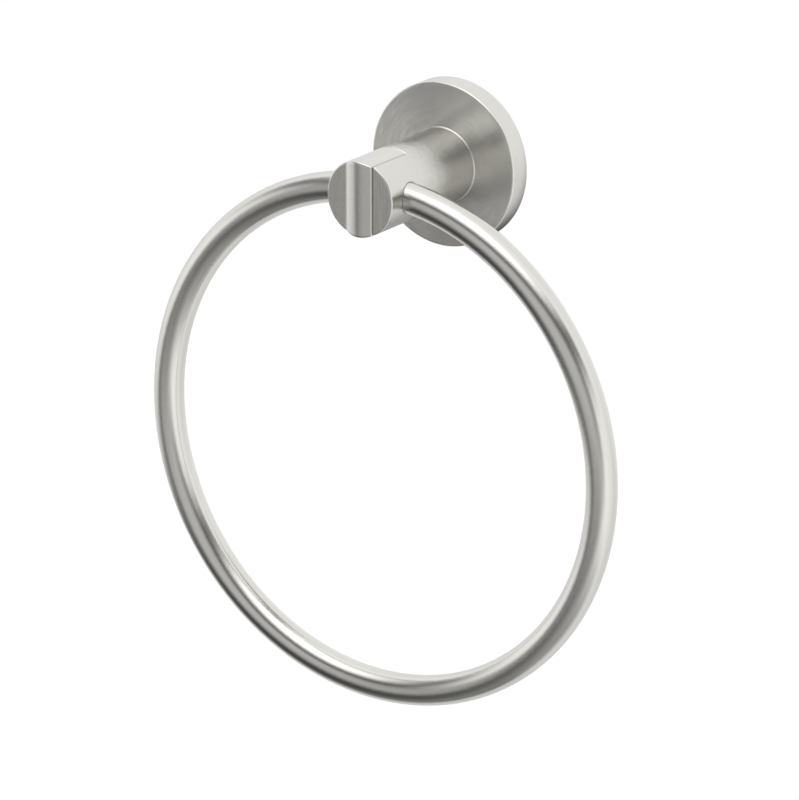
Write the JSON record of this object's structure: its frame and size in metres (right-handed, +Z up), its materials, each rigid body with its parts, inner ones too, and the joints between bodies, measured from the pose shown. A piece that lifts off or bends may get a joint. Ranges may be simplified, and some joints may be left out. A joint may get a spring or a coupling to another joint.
{
  "type": "towel ring",
  "caption": "Wall-hung towel ring: a round rod ring held through a slotted round post on a disc flange that locks over a hidden bracket.",
  "frame": {"origin": "on the wall plane, where the post's axis meets it, midway between the bracket's two slotted screw holes", "axes": "+X to the right along the wall, +Y into the wall along the post's axis, +Z up; the ring hangs below in a plane parallel to the wall"},
  "size_m": [0.17, 0.0539, 0.1908],
  "materials": {
    "flange_nickel": "satin nickel, face brushed in circles round the post",
    "post_nickel": "satin nickel, fine brushing round the barrel",
    "bar_nickel": "satin nickel, fine upright brushing on the nose",
    "ring_nickel": "satin nickel, soft sheen round the rod",
    "bracket_zinc": "bare die-cast zinc, matt grey",
    "screw_steel": "zinc plated steel",
    "set_screw_steel": "plain stainless steel"
  },
  "bodies": {
    "root": {"wall_bracket": "bracket_zinc", "wall_flange": "flange_nickel", "post": "post_nickel", "clamp_bar": "bar_nickel", "ring": "ring_nickel", "clamp_screw": "screw_steel", "flat_washer": "screw_steel", "lock_washer": "screw_steel", "set_screw": "set_screw_steel"}
  },
  "joints": []
}
